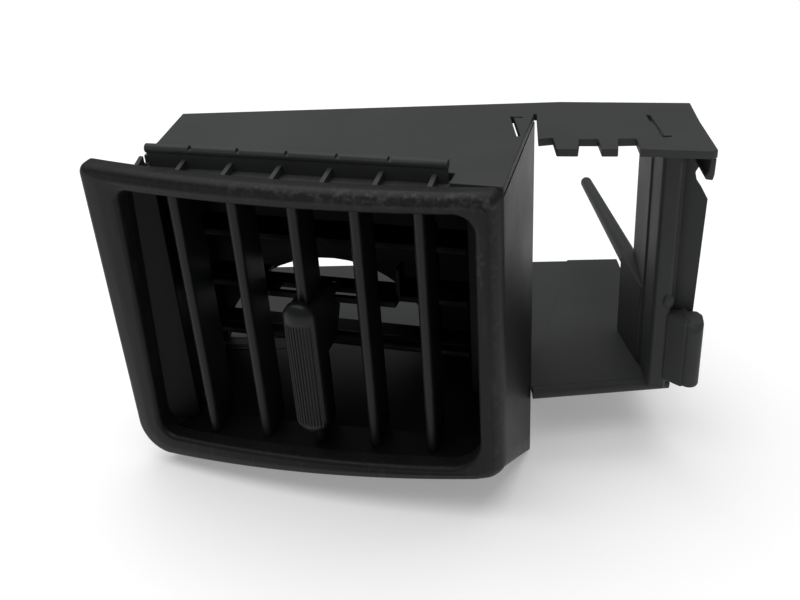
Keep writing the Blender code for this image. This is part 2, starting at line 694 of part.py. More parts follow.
def make_fork():
    """The clip behind the knob: two flanges round the vane whose tips straddle the rear blade's bar."""
    frame = pivot_frame(vane_place(2), VANE_PIVOT)
    bar_z = BLADE_HEIGHTS[1]
    side = [(-4.6, -50.0), (8.6, -50.0), (12.9, bar_z - 3.4), (12.9, bar_z - 1.4), (9.5, bar_z - 1.4),
            (9.5, bar_z + 1.4), (12.9, bar_z + 1.4), (12.9, bar_z + 3.4), (8.6, -33.6), (-4.6, -33.6)]
    flanges = []
    for near in (-3.2, 1.9):
        bm = bmesh.new()
        prism(bm, [Vector((near, d, z)) for d, z in side], Vector((1.3, 0, 0)))
        flanges.append(bm)
    piece = add_piece("knob_fork", flanges[0], "knob_plastic", frame)
    fuse(piece, flanges[1], "flange")
    bridges = [block((-2.6, 2.6), (-4.6, -3.7), (-36.4, -33.9)), block((-2.6, 2.6), (-4.6, -3.7), (-49.7, -47.2))]
    fuse(piece, merged(*bridges), "bridges")
    return piece


def make_brake_pad():
    """The rubber strip in the fork that holds the knob where it is put."""
    frame = pivot_frame(vane_place(2), VANE_PIVOT)
    return add_piece("knob_brake_pad", block((-1.3, 1.3), (-4.5, -3.7), (-46.8, -36.8)), "brake_rubber", frame)


def main():
    clear_scene()
    make_bezel()
    make_cheek()
    make_skirt()
    make_top_plate()
    make_top_rail()
    make_tray()
    make_left_wall()
    make_right_wall()
    make_back_wall()
    make_duct_floor()
    make_pocket_wall()
    make_hook()
    make_outer_rail()
    make_lug()
    make_peg()
    make_pivot_strips()
    for index in range(VANE_COUNT):
        make_front_vane(index)
    make_front_link()
    for index in range(len(BLADE_HEIGHTS)):
        make_rear_vane(index)
    make_rear_link()
    make_blade_bearings()
    make_knob()
    make_fork()
    make_brake_pad()


main()
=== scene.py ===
# %% [markdown]
# A car's face-level air vent is a box of black moulded plastic with a soft convex frame, upright
# vanes behind it, level blades behind those, and here a pocket for a switch at its right. The
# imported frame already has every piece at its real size, so this lesson gives each one its soft
# edges and its moulded finish, and rebuilds the pieces whose surface is more than edges.

import json
import math

import bmesh
import bpy
from mathutils import Matrix, Vector


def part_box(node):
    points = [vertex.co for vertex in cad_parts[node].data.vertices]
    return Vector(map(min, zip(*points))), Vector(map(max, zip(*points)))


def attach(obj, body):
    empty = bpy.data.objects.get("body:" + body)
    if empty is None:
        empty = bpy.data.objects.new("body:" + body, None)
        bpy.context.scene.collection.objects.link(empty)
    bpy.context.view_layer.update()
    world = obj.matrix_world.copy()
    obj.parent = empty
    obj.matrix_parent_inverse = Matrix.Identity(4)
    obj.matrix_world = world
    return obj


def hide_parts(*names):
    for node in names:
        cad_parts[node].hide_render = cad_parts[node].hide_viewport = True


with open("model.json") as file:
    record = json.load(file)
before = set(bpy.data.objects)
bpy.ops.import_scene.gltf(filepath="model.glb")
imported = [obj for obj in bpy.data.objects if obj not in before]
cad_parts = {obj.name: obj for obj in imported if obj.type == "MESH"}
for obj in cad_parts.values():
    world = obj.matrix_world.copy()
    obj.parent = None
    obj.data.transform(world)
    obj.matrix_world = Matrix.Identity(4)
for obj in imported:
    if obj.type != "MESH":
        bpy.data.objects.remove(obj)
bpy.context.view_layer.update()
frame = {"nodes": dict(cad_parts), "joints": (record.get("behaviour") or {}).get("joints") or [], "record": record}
nodes = frame["nodes"]
MM = 0.001

# %% [markdown]
# The vent is turned a little on its housing. Its own directions are s along the mouth, d into the
# duct and z up. The joints say where they are: the tilt axis of a level blade runs along s, and the
# middle upright vane stands one millimetre right of the mouth's middle, four behind its front. The
# housing's own directions start at the corner where the cheek meets the top plate.

# %% The housing's and the vent's own directions
VANE_AT = (1.0, 4.0)
HOOK_TO_TOP = 2.3
POCKET_WIDTH = 28.9
POCKET_DEPTH = 28.6
joints = {joint["name"]: joint for joint in frame["joints"]}
along = Vector(joints["rear_vane_2_tilt"]["axis"]).normalized()
middle_vane = Vector(joints["front_vane_3_turn"]["pos_m"])
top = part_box("hook_lip")[1].z + HOOK_TO_TOP * MM
vent = Matrix.Translation((middle_vane.x, middle_vane.y, top))
vent = vent @ Matrix.Rotation(math.atan2(along.y, along.x), 4, "Z")
vent = vent @ Matrix.Translation((-VANE_AT[0] * MM, -VANE_AT[1] * MM, 0))
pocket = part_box("pocket_end_wall")
corner = Vector((pocket[0].x - POCKET_WIDTH * MM, pocket[1].y - POCKET_DEPTH * MM, top))


def in_vent(s, d, z):
    """A point given in vent millimetres, in metres in the frame."""
    return vent @ Vector((s * MM, d * MM, z * MM))


def in_housing(x, y, z):
    """A point given in housing millimetres, in metres in the frame."""
    return corner + Vector((x, y, z)) * MM


print("mouth's middle at", [round(v / MM, 1) for v in in_vent(0, 0, 0)])
print("corner at", [round(v / MM, 2) for v in corner])

# %% [markdown]
# Shader maths reads best as sums. A small class wraps a socket, so that + - * add the Math nodes,
# and one method makes any other node from its settings and its inputs.

# %% A socket that does sums
class Wire:
    """A node's output that can be added, subtracted and multiplied."""

    tree = None

    def __init__(self, socket):
        self.socket = socket

    @classmethod
    def node(cls, kind, settings=None, output=0, **sockets):
        """Make a node, set it, connect its sockets (i2 is the third one) and give one output."""
        made = cls.tree.nodes.new(kind)
        for key, value in (settings or {}).items():
            if key == "stops":
                for stop, (place, level) in zip(made.color_ramp.elements, value):
                    stop.position = place
                    stop.color = (level, level, level, 1.0)
            else:
                setattr(made, key, value)
        for key, value in sockets.items():
            socket = made.inputs[int(key[1:])] if key[1:].isdigit() else made.inputs[key]
            if isinstance(value, Wire):
                cls.tree.links.new(value.socket, socket)
            else:
                socket.default_value = value
        return cls(made.outputs[output])

    def sum(self, operation, first, second):
        """A Math node on two values."""
        return Wire.node("ShaderNodeMath", {"operation": operation}, i0=first, i1=second)

    def __add__(self, other):
        return self.sum("ADD", self, other)

    __radd__ = __add__

    def __mul__(self, other):
        return self.sum("MULTIPLY", self, other)

    __rmul__ = __mul__

    def __sub__(self, other):
        return self.sum("SUBTRACT", self, other)

    def __rsub__(self, other):
        return self.sum("SUBTRACT", other, self)


def stepped(value, low, high):
    """A ramp that is 0 up to low and 1 from high."""
    return Wire.node("ShaderNodeValToRGB", {"stops": [(low, 0.0), (high, 1.0)]}, Fac=value)


def noise(place, scale, detail=2.0):
    """Noise of a scale in waves per metre."""
    return Wire.node("ShaderNodeTexNoise", output="Fac", Vector=place, Scale=scale, Detail=detail)


def mixed(share, colour, other):
    """A colour that goes from one to another as the share goes from 0 to 1."""
    return Wire.node("ShaderNodeMix", {"data_type": "RGBA"}, output=2,
                     i0=share, i6=(*colour, 1.0), i7=(*other, 1.0))


print("ready to mix finishes")

# %% [markdown]
# Moulded plastic takes its grain from the tool. A spark-eroded tool gives a fine even grain, drawn
# here with two sizes of noise as bump; handling polishes the high spots, so roughness drifts
# slowly over the surface, and dust and rubbing leave paler clouds and specks. On the frame the
# tool's polishing also left faint upright streaks.

# %% Moulded plastic
CLOUD_WAVES = 45.0
FLECK_WAVES = 700.0
COARSE_GRAIN = 0.3
SPECKS = 0.25
ROUGHER_BY_GRAIN = 0.16
ROUGHER_BY_CLOUDS = 0.22
PLASTIC_IOR = 1.47


def plastic(name, colour, pale, rough, grain, depth, gloss=0.25, cloud=0.35, streaks=None, rubbed=0.0):
    """A moulded finish: deep and pale colours, roughness, grain size and grain depth in mm."""
    made = bpy.data.materials.new("moulded_" + name)
    made.use_nodes = True
    tree = made.node_tree
    Wire.tree = tree
    shader = tree.nodes["Principled BSDF"]
    place = Wire.node("ShaderNodeTexCoord", output="Object")
    drift = noise(place, CLOUD_WAVES, 3.0)
    fine = noise(place, 1.0 / (grain * MM))
    coarse = noise(place, COARSE_GRAIN / (grain * MM))
    paler = stepped(drift, 0.35, 0.75) * cloud + stepped(fine, 0.6, 0.85) * SPECKS
    relief = fine * 0.6 + coarse * 0.4
    if streaks:
        lines = noise(Wire.node("ShaderNodeMapping", Vector=place, Scale=streaks), 1.0, 4.0)
        relief = relief + lines * 0.5
        paler = paler + stepped(lines, 0.55, 0.8) * SPECKS
    # The frame is paled further where its attribute says: real wear along its top edge, and a painted highlight
    # down its outer side edges.
    if rubbed:
        edge = Wire.node("ShaderNodeAttribute", {"attribute_name": "rubbed"}, output="Fac")
        flecks = stepped(noise(place, FLECK_WAVES, 4.0), 0.50, 0.66)
        paler = paler + edge * (flecks * 0.85 + 0.10) * rubbed
    paler.socket.node.use_clamp = True
    tree.links.new(mixed(paler, colour, pale).socket, shader.inputs["Base Color"])
    roughness = (fine - 0.5) * ROUGHER_BY_GRAIN + (drift - 0.5) * ROUGHER_BY_CLOUDS + rough
    tree.links.new(roughness.socket, shader.inputs["Roughness"])
    shader.inputs["IOR"].default_value = PLASTIC_IOR
    shader.inputs["Specular IOR Level"].default_value = gloss
    bump = Wire.node("ShaderNodeBump", output="Normal", Height=relief, Distance=depth * MM, Strength=1.0)
    tree.links.new(bump.socket, shader.inputs["Normal"])
    print("mixed", name)
    return made


LOOKS = {
    "bezel_plastic": dict(colour=(0.0050, 0.0050, 0.0054), pale=(0.046, 0.046, 0.046), rough=0.46,
                          grain=0.42, depth=0.060, gloss=0.19, cloud=0.10,
                          streaks=(900.0, 900.0, 60.0), rubbed=1.0),
    "shell_plastic": dict(colour=(0.026, 0.027, 0.028), pale=(0.046, 0.047, 0.048), rough=0.58,
                          grain=0.22, depth=0.020, gloss=0.28, cloud=0.5),
    # The inside's black is set darker than the frame's, as painted shade for the dark inside of the duct.
    "inner_plastic": dict(colour=(0.0028, 0.0028, 0.003), pale=(0.008, 0.008, 0.0085), rough=0.50,
                          grain=0.25, depth=0.020, gloss=0.14),
    "vane_plastic": dict(colour=(0.0055, 0.006, 0.006), pale=(0.016, 0.017, 0.018), rough=0.36,
                         grain=0.20, depth=0.012, gloss=0.23),
    "knob_plastic": dict(colour=(0.0052, 0.0056, 0.0058), pale=(0.020, 0.021, 0.022), rough=0.32,
                         grain=0.20, depth=0.010, gloss=0.25),
    "brake_rubber": dict(colour=(0.008, 0.008, 0.008), pale=(0.020, 0.020, 0.020), rough=0.85,
                         grain=0.40, depth=0.030),
}
finishes = {slot: plastic(slot, **look) for slot, look in LOOKS.items()}

# %% [markdown]
# Every piece is finished the same way: doubled points are merged, faces are turned outwards, flat
# faces stay crisp while round ones shade smoothly, and the piece is told which body carries it and
# which finish it takes, while the plain solids it stands for are hidden.

# %% Finish a piece
MERGED_WITHIN = 0.004 * MM
nodes_of_body = frame["record"]["behaviour"]["bodies"]
body_of_node = {node: body for body, listed in nodes_of_body.items() for node in listed}
slot_of_node = {part["node"]: part["material_slot"] for part in frame["record"]["subparts"]}


def finish_piece(name, bm, replaced, smooth=38.0):
    """Turn a bmesh in metres into a riding piece that stands for plain solids."""
    first = replaced[0]
    bmesh.ops.remove_doubles(bm, verts=bm.verts, dist=MERGED_WITHIN)
    bmesh.ops.recalc_face_normals(bm, faces=bm.faces)
    mesh = bpy.data.meshes.new(name)
    bm.to_mesh(mesh)
    bm.free()
    mesh.materials.append(finishes[slot_of_node[first]])
    mesh.shade_smooth()
    mesh.set_sharp_from_angle(angle=math.radians(smooth))
    piece = bpy.data.objects.new(name, mesh)
    bpy.context.scene.collection.objects.link(piece)
    even = piece.modifiers.new("even_shading", "WEIGHTED_NORMAL")
    even.keep_sharp = True
    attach(piece, body_of_node[first])
    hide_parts(*replaced)
    return piece


print("ready to finish pieces in", len(slot_of_node), "places")

# %% [markdown]
# No moulded edge is sharp: the tool leaves each one with a small radius, and that radius is what
# catches the light. A copy of the plain solid is merged, its flat faces are joined up, and every
# corner edge is bevelled. Thin pieces take a smaller width than the plates.

# %% Soften the plain solids
CORNER_ANGLE = 34.0
FLAT_ANGLE = 1.5
VANE_EDGE = 0.22


def bevel_corners(bm, width):
    """Bevel every edge that turns more than the corner angle; width in millimetres."""
    corners = [edge for edge in bm.edges
               if edge.is_manifold and edge.calc_face_angle(0.0) > math.radians(CORNER_ANGLE)]
    bmesh.ops.bevel(bm, geom=corners, offset=width * MM, offset_type="OFFSET", segments=2,
                    profile=0.5, affect="EDGES", clamp_overlap=True, material=-1)


def softened(node, width):
    """A bmesh of a plain solid, merged, its flat faces joined and its corners bevelled."""
    bm = bmesh.new()
    bm.from_mesh(nodes[node].data)
    bmesh.ops.remove_doubles(bm, verts=bm.verts, dist=MERGED_WITHIN)
    bmesh.ops.dissolve_limit(bm, angle_limit=math.radians(FLAT_ANGLE), verts=bm.verts, edges=bm.edges)
    bevel_corners(bm, width)
    return bm


EDGE_WIDTHS = {
    "top_plate": 0.30, "top_rail": 0.22, "lower_tray": 0.4, "duct_right_wall": 0.3,
    "duct_back_wall": 0.3, "pocket_end_wall": 0.28, "hook_lip": 0.3, "locating_peg": 0.2,
    "upper_pivot_strip": 0.2, "lower_pivot_strip": 0.25, "rear_bearing_left": 0.2,
    "rear_bearing_right": 0.2, "front_link_bar": 0.2, "rear_link_bar": 0.2,
    "knob_fork": 0.2, "knob_brake_pad": 0.2,
}
EDGE_WIDTHS.update({"front_vane_%d" % number: VANE_EDGE for number in range(1, 6)})
EDGE_WIDTHS.update({"rear_vane_%d" % number: VANE_EDGE for number in range(1, 4)})
for node, width in EDGE_WIDTHS.items():
    finish_piece(node + "_moulding", softened(node, width), [node])
print("softened", len(EDGE_WIDTHS), "pieces")

# %% [markdown]
# Several mouldings are a section that changes as it travels. They are drawn as one ring of edges
# that is extruded to the next ring's places again and again, and closed at both ends, or joined
# back to where it began.

# %% Sweep a ring
def swept(rings, looped=False):
    """A bmesh through rings of places; a looped sweep's last ring is its first one."""
    bm = bmesh.new()
    ring = [bm.verts.new(place) for place in rings[0]]
    edges = [bm.edges.new((ring[index - 1], ring[index])) for index in range(len(ring))]
    ends = [edges]
    for places in rings[1:]:
        made = bmesh.ops.extrude_edge_only(bm, edges=edges)["geom"]
        fresh = {item for item in made if isinstance(item, bmesh.types.BMVert)}
        ahead = []
        for vert, place in zip(ring, places):
            twin = next(edge.other_vert(vert) for edge in vert.link_edges if edge.other_vert(vert) in fresh)
            twin.co = place
            ahead.append(twin)
        edges = [bm.edges.get((ahead[index - 1], ahead[index])) for index in range(len(ahead))]
        ring = ahead
    ends.append(edges)
    if not looped:
        for end in ends:
            bmesh.ops.holes_fill(bm, edges=end, sides=0)
    return bm


print("ready to sweep")

# %% [markdown]
# The frame round the mouth, the cheek on its right and the skirt beneath it are one moulding with
# no join, so they are one mesh. Its outer and inner outlines are four corners each, given as s, z
# and a corner radius, from the top left one clockwise. An outline's points all remember the corner
# or edge that they are on, so that one outline can be laid against another.

# %% Outlines of the frame
OUTER = [(-52.3, 0.0, 2.6), (50.5, 0.0, 2.5), (50.5, -76.4, 4.0), (-52.0, -84.6, 9.0)]
INNER = [(-41.6, -5.4, 3.0), (44.8, -4.9, 4.5), (44.8, -73.0, 8.0), (-43.8, -77.4, 4.5)]
EDGE_STEPS = [30, 24, 30, 24]
CORNER_STEPS = 9
SMALLEST_RADIUS = 0.4
HALF_MOUTH = 50.0
BULGE = 4.3
FRONT_EDGE = -2.4
FRONT_SLANT = 0.026


def eased(value):
    """A smooth step from 0 to 1."""
    value = min(max(value, 0.0), 1.0)
    return value * value * (3 - 2 * value)


def front_at(s):
    """Depth of the convex front at s, in millimetres."""
    return FRONT_EDGE - FRONT_SLANT * s - BULGE * (1 - (s / HALF_MOUTH) ** 2)


def outline(corners, inset):
    """Rounded outline moved inwards: s, z, corner or edge, its number and the part of it passed."""
    middle_s = sum(point[0] for point in corners) / 4
    middle_z = sum(point[1] for point in corners) / 4
    arcs = []
    for index, (s, z, radius) in enumerate(corners):
        turn = max(radius - inset, SMALLEST_RADIUS)
        reach = inset + turn
        hub = Vector((s + math.copysign(reach, middle_s - s), z + math.copysign(reach, middle_z - z)))
        arc = []
        for step in range(CORNER_STEPS + 1):
            angle = math.radians(180 - 90 * index - 90 * step / CORNER_STEPS)
            arc.append(hub + turn * Vector((math.cos(angle), math.sin(angle))))
        arcs.append(arc)
    points = []
    for index, arc in enumerate(arcs):
        points += [(*point, "corner", index, step / CORNER_STEPS) for step, point in enumerate(arc)]
        ahead = arcs[(index + 1) % 4][0]
        for step in range(1, EDGE_STEPS[index]):
            part = step / EDGE_STEPS[index]
            points.append((*arc[-1].lerp(ahead, part), "edge", index, part))
    return points


number_of_point = {point[2:]: number for number, point in enumerate(outline(OUTER, 0))}
print("outline of", len(number_of_point), "points")

# %% [markdown]
# The moulding is a ring that is extruded again and again: from its back edge round the soft outer
# edge, over the front, round the inner edge, back along the mouth and out behind. On the right and
# below, the outer wall runs much further back than elsewhere, as the cheek and the skirt.

# %% The frame's rings
RING_DEPTH = 4.6
WALL = 1.9
FOOT_WALL = 1.4
CHEEK_REAR_TOP = Vector((1.2, 20.0, -2.3))
CHEEK_REAR_FOOT = Vector((-1.2, -1.2, -88.0))
SKIRT_REAR_LEFT = Vector((-50.0, 22.0, -88.0))
ROUND_STEPS = 7
OUTER_ROUND = (1.9, 2.4)
INNER_ROUND = (1.5, 1.6)
FRONT_PARTS = (0.35, 0.5, 0.65, 0.85)
FRONT_SWELL = 0.25
MOUTH_DRAFT = 0.2
CHEEK_SWELL = 0.9
SWELL_FROM = 44.0
SWELL_OVER = 6.0


def wall_end(point, inner):
    """Where the wall ends behind an outline point, on its outer (0) or its inner side (1)."""
    s, z, kind, index, part = point
    cheek = (kind, index) == ("edge", 1) or (kind == "corner" and index == 1 and part == 1.0)
    foot = kind == "corner" and index == 2
    skirt = (kind, index) == ("edge", 2) or (kind == "corner" and index == 3 and part == 0.0)
    if cheek or foot:
        down = 1.0 if foot else (part if kind == "edge" else 0.0)
        rear = CHEEK_REAR_TOP.lerp(CHEEK_REAR_FOOT, down)
        lift = FOOT_WALL if foot else 0.0
        return in_housing(rear.x - WALL * inner, rear.y, rear.z + lift * inner)
    if skirt:
        start = vent.inverted() @ in_housing(*CHEEK_REAR_FOOT) / MM
        place = start.lerp(SKIRT_REAR_LEFT, part if kind == "edge" else 1.0)
        return in_vent(place.x, place.y, place.z + FOOT_WALL * inner)
    inside = outline(OUTER, WALL * inner)[number_of_point[(kind, index, part)]]
    return in_vent(inside[0], front_at(inside[0]) + RING_DEPTH, inside[1])


def flat_ring(corners, inset, depth):
    """A ring of places whose outline is inset and which lies a depth behind the convex front."""
    return [in_vent(s, front_at(s) + depth, z) for s, z, *_ in outline(corners, inset)]


def broader(s):
    """How much broader the outer rounding is at s: most along the cheek."""
    return 1.0 + CHEEK_SWELL * eased((s - SWELL_FROM) / SWELL_OVER)


def round_ring(turn):
    """A ring on the frame's outer rounding, at a turn from its side to its front."""
    inset = OUTER_ROUND[0] * (1 - math.cos(turn))
    depth = OUTER_ROUND[1] * (1 - math.sin(turn))
    places = []
    for still, moved in zip(outline(OUTER, 0), outline(OUTER, inset)):
        more = broader(still[0])
        s = still[0] + (moved[0] - still[0]) * more
        z = still[1] + (moved[1] - still[1]) * more
        places.append(in_vent(s, front_at(s) + depth * more, z))
    return places


def between(part):
    """A ring on the gently swollen front face, at a part of the way from outer to inner outline."""
    swell = -FRONT_SWELL * math.sin(math.pi * part)
    places = []
    for near, far in zip(outline(OUTER, OUTER_ROUND[0]), outline(INNER, -INNER_ROUND[0])):
        s = near[0] + (far[0] - near[0]) * part
        z = near[1] + (far[1] - near[1]) * part
        places.append(in_vent(s, front_at(s) + swell, z))
    return places


turns = [math.radians(90 * step / ROUND_STEPS) for step in range(ROUND_STEPS + 1)]
rings = [[wall_end(point, 0.0) for point in outline(OUTER, 0)]]
rings += [round_ring(turn) for turn in turns]
rings += [between(part) for part in FRONT_PARTS]
rings += [flat_ring(INNER, -INNER_ROUND[0] * (1 - math.sin(turn)), INNER_ROUND[1] * (1 - math.cos(turn)))
          for turn in turns]
rings.append(flat_ring(INNER, MOUTH_DRAFT, RING_DEPTH))
rings.append(flat_ring(OUTER, WALL, RING_DEPTH))
rings.append([wall_end(point, 1.0) for point in outline(OUTER, 0)])
rings.append(rings[0])
print("drawn", len(rings), "rings")

# %% [markdown]
# Where hands and cloths pass, the black wears to grey. How pale each point is, from that wear and
# from painted highlight, is kept with the mesh as an attribute: the wear strongest along the top edge
# towards the right, a painted highlight down the right and left outer edges, and one pale patch beside the mouth.

# %% The frame, cheek and skirt
PALE_EDGE_BAND = 1.2
RUBBED_FROM = -30.0
RUBBED_OVER = 50.0
LEAST_RUBBED = 0.12
TOP_BAND = 3.2
SIDE_BAND = 2.6
# Strength of the painted highlight down the right and left outer edges.
RIGHT_HIGHLIGHT = 0.4
RIGHT_EDGE = 49.6
LEFT_HIGHLIGHT = 0.25
LEFT_EDGE = -51.0
PATCH = 0.9
PATCH_AT = (46.0, -17.0)
PATCH_SIZE = (1.1, 7.0)


def wear_and_sheen_at(place):
    """How pale the frame is at a place, from wear and painted highlight: its outer edge most, and more to the
    right.
    """
    local = vent.inverted() @ place / MM
    near = math.exp(-((local.y - front_at(local.x) - 0.5) / PALE_EDGE_BAND) ** 2)
    to_the_right = min(max((local.x - RUBBED_FROM) / RUBBED_OVER, LEAST_RUBBED), 1.0)
    above = max(0.0, 1 - abs(local.z + 0.8) / TOP_BAND) * to_the_right
    # Painted highlight: a pale band down the right outer edge, and a fainter one down the left.
    right = RIGHT_HIGHLIGHT * max(0.0, 1 - abs(local.x - RIGHT_EDGE) / SIDE_BAND)
    left = LEFT_HIGHLIGHT * max(0.0, 1 - abs(local.x - LEFT_EDGE) / SIDE_BAND)
    across = (local.x - PATCH_AT[0]) / PATCH_SIZE[0]
    down = (local.z - PATCH_AT[1]) / PATCH_SIZE[1]
    patch = PATCH * math.exp(-across ** 2 - down ** 2)
    return min(1.0, near * (above + right + left) + patch * near)


def make_frame():
    """The whole front moulding as one closed mesh."""
    bm = swept(rings, looped=True)
    bmesh.ops.remove_doubles(bm, verts=bm.verts, dist=MERGED_WITHIN)
    rubbed = bm.verts.layers.float.new("rubbed")
    for vert in bm.verts:
        vert[rubbed] = wear_and_sheen_at(vert.co)
    return finish_piece("front_moulding", bm, ["front_bezel", "side_cheek", "under_skirt"], smooth=42.0)


front_moulding = make_frame()
print("made the frame with", len(front_moulding.data.polygons), "faces")

# %% [markdown]
# Inside the mouth's left edge the moulding flares in to meet the duct's wall, and rolls round into
# the sill at its foot. It is a strip of plan points swept down from the top, whose points follow
# the mouth's slanting edge and turn inwards at the foot.

# %% The flare inside the left edge
FLARE_TOP = -4.0
FLARE_FOOT = -79.4
FLARE_ROLL = 8.5
FLARE_ROWS = 30
FLARE_STEPS = 8
FLARE_WALL = Vector((-0.9, 0.5))
FLARE_EDGE = -41.9
FLARE_SLANT = 2.0
FLARE_BEND = 6.4
FLARE_END = Vector((-37.3, 11.0))
DUCT_EDGE = 0.3


def flare_ring(z):
    """Plan of the flare at a height, in vent directions: its inner face, then its outer face."""
    down = (FLARE_TOP - z) / (FLARE_TOP - FLARE_FOOT)
    edge = FLARE_EDGE - FLARE_SLANT * down
    roll = max(0.0, (FLARE_FOOT + FLARE_ROLL - z) / FLARE_ROLL)
    inward = FLARE_ROLL * (1 - math.sqrt(max(0.0, 1 - roll ** 2)))
    start = Vector((edge - 0.3 + inward * 0.75, front_at(edge) + RING_DEPTH - 1.2))
    bend = Vector((edge + 1.0 + inward, FLARE_BEND))
    end = Vector((FLARE_END.x + inward * 0.8, FLARE_END.y))
    inner = []
    for step in range(FLARE_STEPS + 1):
        part = step / FLARE_STEPS
        inner.append(start.lerp(bend, part).lerp(bend.lerp(end, part), part))
    outer = [point + FLARE_WALL for point in reversed(inner)]
    return [in_vent(point.x, point.y, z) for point in inner + outer]


flare_heights = [FLARE_TOP + (FLARE_FOOT - FLARE_TOP) * (step / FLARE_ROWS) ** 0.8
                 for step in range(FLARE_ROWS + 1)]
finish_piece("left_wall_moulding", softened("duct_left_wall", DUCT_EDGE), ["duct_left_wall"])
finish_piece("left_flare", swept([flare_ring(z) for z in flare_heights]), ["duct_left_wall"], smooth=50.0)
print("made the left wall and its flare of", len(flare_heights), "rows")

# %% [markdown]
# The duct's sloping floor runs on under the back wall and laps the tray, so that no light shows
# between them. The lap is a thin strip that follows the back wall's line.

# %% The duct floor and its lap
LAP = [(-89.6, 26.6), (-4.8, 23.2), (-4.2, 31.6), (-89.6, 35.4)]
LAP_HEIGHTS = (-71.8, -70.6)
finish_piece("floor_moulding", softened("duct_floor", DUCT_EDGE), ["duct_floor"])
finish_piece("floor_lap", swept([[in_housing(x, y, z) for x, y in LAP] for z in LAP_HEIGHTS]), ["duct_floor"])
print("made the floor, whose lap is", round(LAP_HEIGHTS[1] - LAP_HEIGHTS[0], 2), "mm thick")

# %% [markdown]
# Outside the switch pocket's end wall a thin dark panel runs down from the top plate, notched near
# its top, and ends at a thick rounded lug that stands on a wedge of its own. The panel leans back
# towards the wall. Its outline is drawn in x and z, front to back in two rings.

# %% The outer panel
PANEL = [(34.1, -2.5), (38.2, -2.5), (38.0, -8.2), (37.3, -9.8), (37.7, -11.6), (38.9, -13.4), (40.4, -16.2),
         (39.6, -47.5), (34.1, -47.5)]
PANEL_EDGE_X = 40.4
PANEL_LEAN = 0.42
PANEL_DEPTHS = (0.6, 2.0)
PANEL_EDGE = 0.25


def panel_ring(depth):
    """The panel's outline at a depth, leaning back towards the wall."""
    return [in_housing(x, depth + (PANEL_EDGE_X - x) * PANEL_LEAN, z) for x, z in PANEL]


panel = swept([panel_ring(depth) for depth in PANEL_DEPTHS])
bevel_corners(panel, PANEL_EDGE)
outer_panel = finish_piece("outer_panel", panel, ["outer_rail"])
print("made the panel with", len(outer_panel.data.polygons), "faces")

# %% [markdown]
# The lug is a plain solid that only needs round edges. Its wedge is a five-sided prism against the
# wall, and a small bump sits on the wall just above it. All three are one moulding, so they are
# joined into one mesh.

# %% The lug, its wedge and the bump
WEDGE = [(32.6, -0.8), (36.9, -4.9), (38.6, -3.0), (38.6, 2.0), (34.0, 2.0)]
WEDGE_HEIGHTS = (-66.4, -46.8)
WEDGE_EDGE = 0.6
LUG_EDGE = 0.55
BUMP_AT = (33.0, -0.3, -43.2)
BUMP_RADIUS = 1.35
BUMP_SHAPE = (1.0, 0.7, 1.5)


def make_lug():
    """The rounded lug with its wedge and the bump on the wall."""
    bm = softened("retaining_lug", LUG_EDGE)
    wedge = swept([[in_housing(x, y, z) for x, y in WEDGE] for z in WEDGE_HEIGHTS])
    bevel_corners(wedge, WEDGE_EDGE)
    bump = bmesh.new()
    bmesh.ops.create_icosphere(bump, subdivisions=3, radius=BUMP_RADIUS * MM)
    bmesh.ops.scale(bump, vec=BUMP_SHAPE, verts=bump.verts)
    bmesh.ops.translate(bump, vec=in_housing(*BUMP_AT), verts=bump.verts)
    for extra in (wedge, bump):
        bmesh.ops.recalc_face_normals(extra, faces=extra.faces)
        keep = bpy.data.meshes.new("keep")
        extra.to_mesh(keep)
        extra.free()
        bm.from_mesh(keep)
        bpy.data.meshes.remove(keep)
    return finish_piece("lug_and_wedge", bm, ["retaining_lug"], smooth=42.0)


lug = make_lug()
print("made the lug with", len(lug.data.polygons), "faces")

# %% [markdown]
# The locating peg grows out of a thickened foot inside the pocket's end wall, so its near end
# never shows. The foot is a plan with four corners, whose upper face falls away to the front.

# %% The peg's foot
FOOT_REAR = 29.8
PEG_FOOT = [(25.7, FOOT_REAR), (29.4, FOOT_REAR), (29.4, 13.0), (28.5, 13.0)]
FOOT_FACES = ((-69.9, 0.0), (-44.4, -0.12))
FOOT_EDGE = 0.5
foot = swept([[in_housing(x, y, z + (FOOT_REAR - y) * slope) for x, y in PEG_FOOT] for z, slope in FOOT_FACES])
bevel_corners(foot, FOOT_EDGE)
peg_foot = finish_piece("peg_foot", foot, ["locating_peg"])
print("made the peg's foot with", len(peg_foot.data.polygons), "faces")

# %% [markdown]
# The thumb knob is a tall capsule, crowned across, whose middle is cut with fine upright grooves
# for grip and whose ends are smooth. A grid is fitted to the capsule's outline, raised to its
# crown, grooved, and its rim is drawn back to the knob's foot. Depths count from the vane's pivot.

# %% The thumb knob's face
KNOB_AT = Vector(VANE_AT)
KNOB_TOP = -31.7
KNOB_FOOT = -69.7
KNOB_HALF = 4.25
KNOB_BACK = -4.9
KNOB_FRONT = -8.2
KNOB_CORNER = 4.2
KNOB_CROWN = 2.9
KNOB_END = 4.4
KNOB_RIM = 0.6
KNOB_COLUMNS = 96
KNOB_ROWS = 90
ROWS_TO_ENDS = 1.7
CROWN_SHARE = 0.985
GROOVE_PITCH = 0.78
GROOVE_DEPTH = 0.36
SMOOTH_TOP = 4.9
SMOOTH_FOOT = 2.6
SMOOTH_SIDE = 0.35
GROOVE_RUN_OUT = 0.8
SIDE_RUN_OUT = 0.4


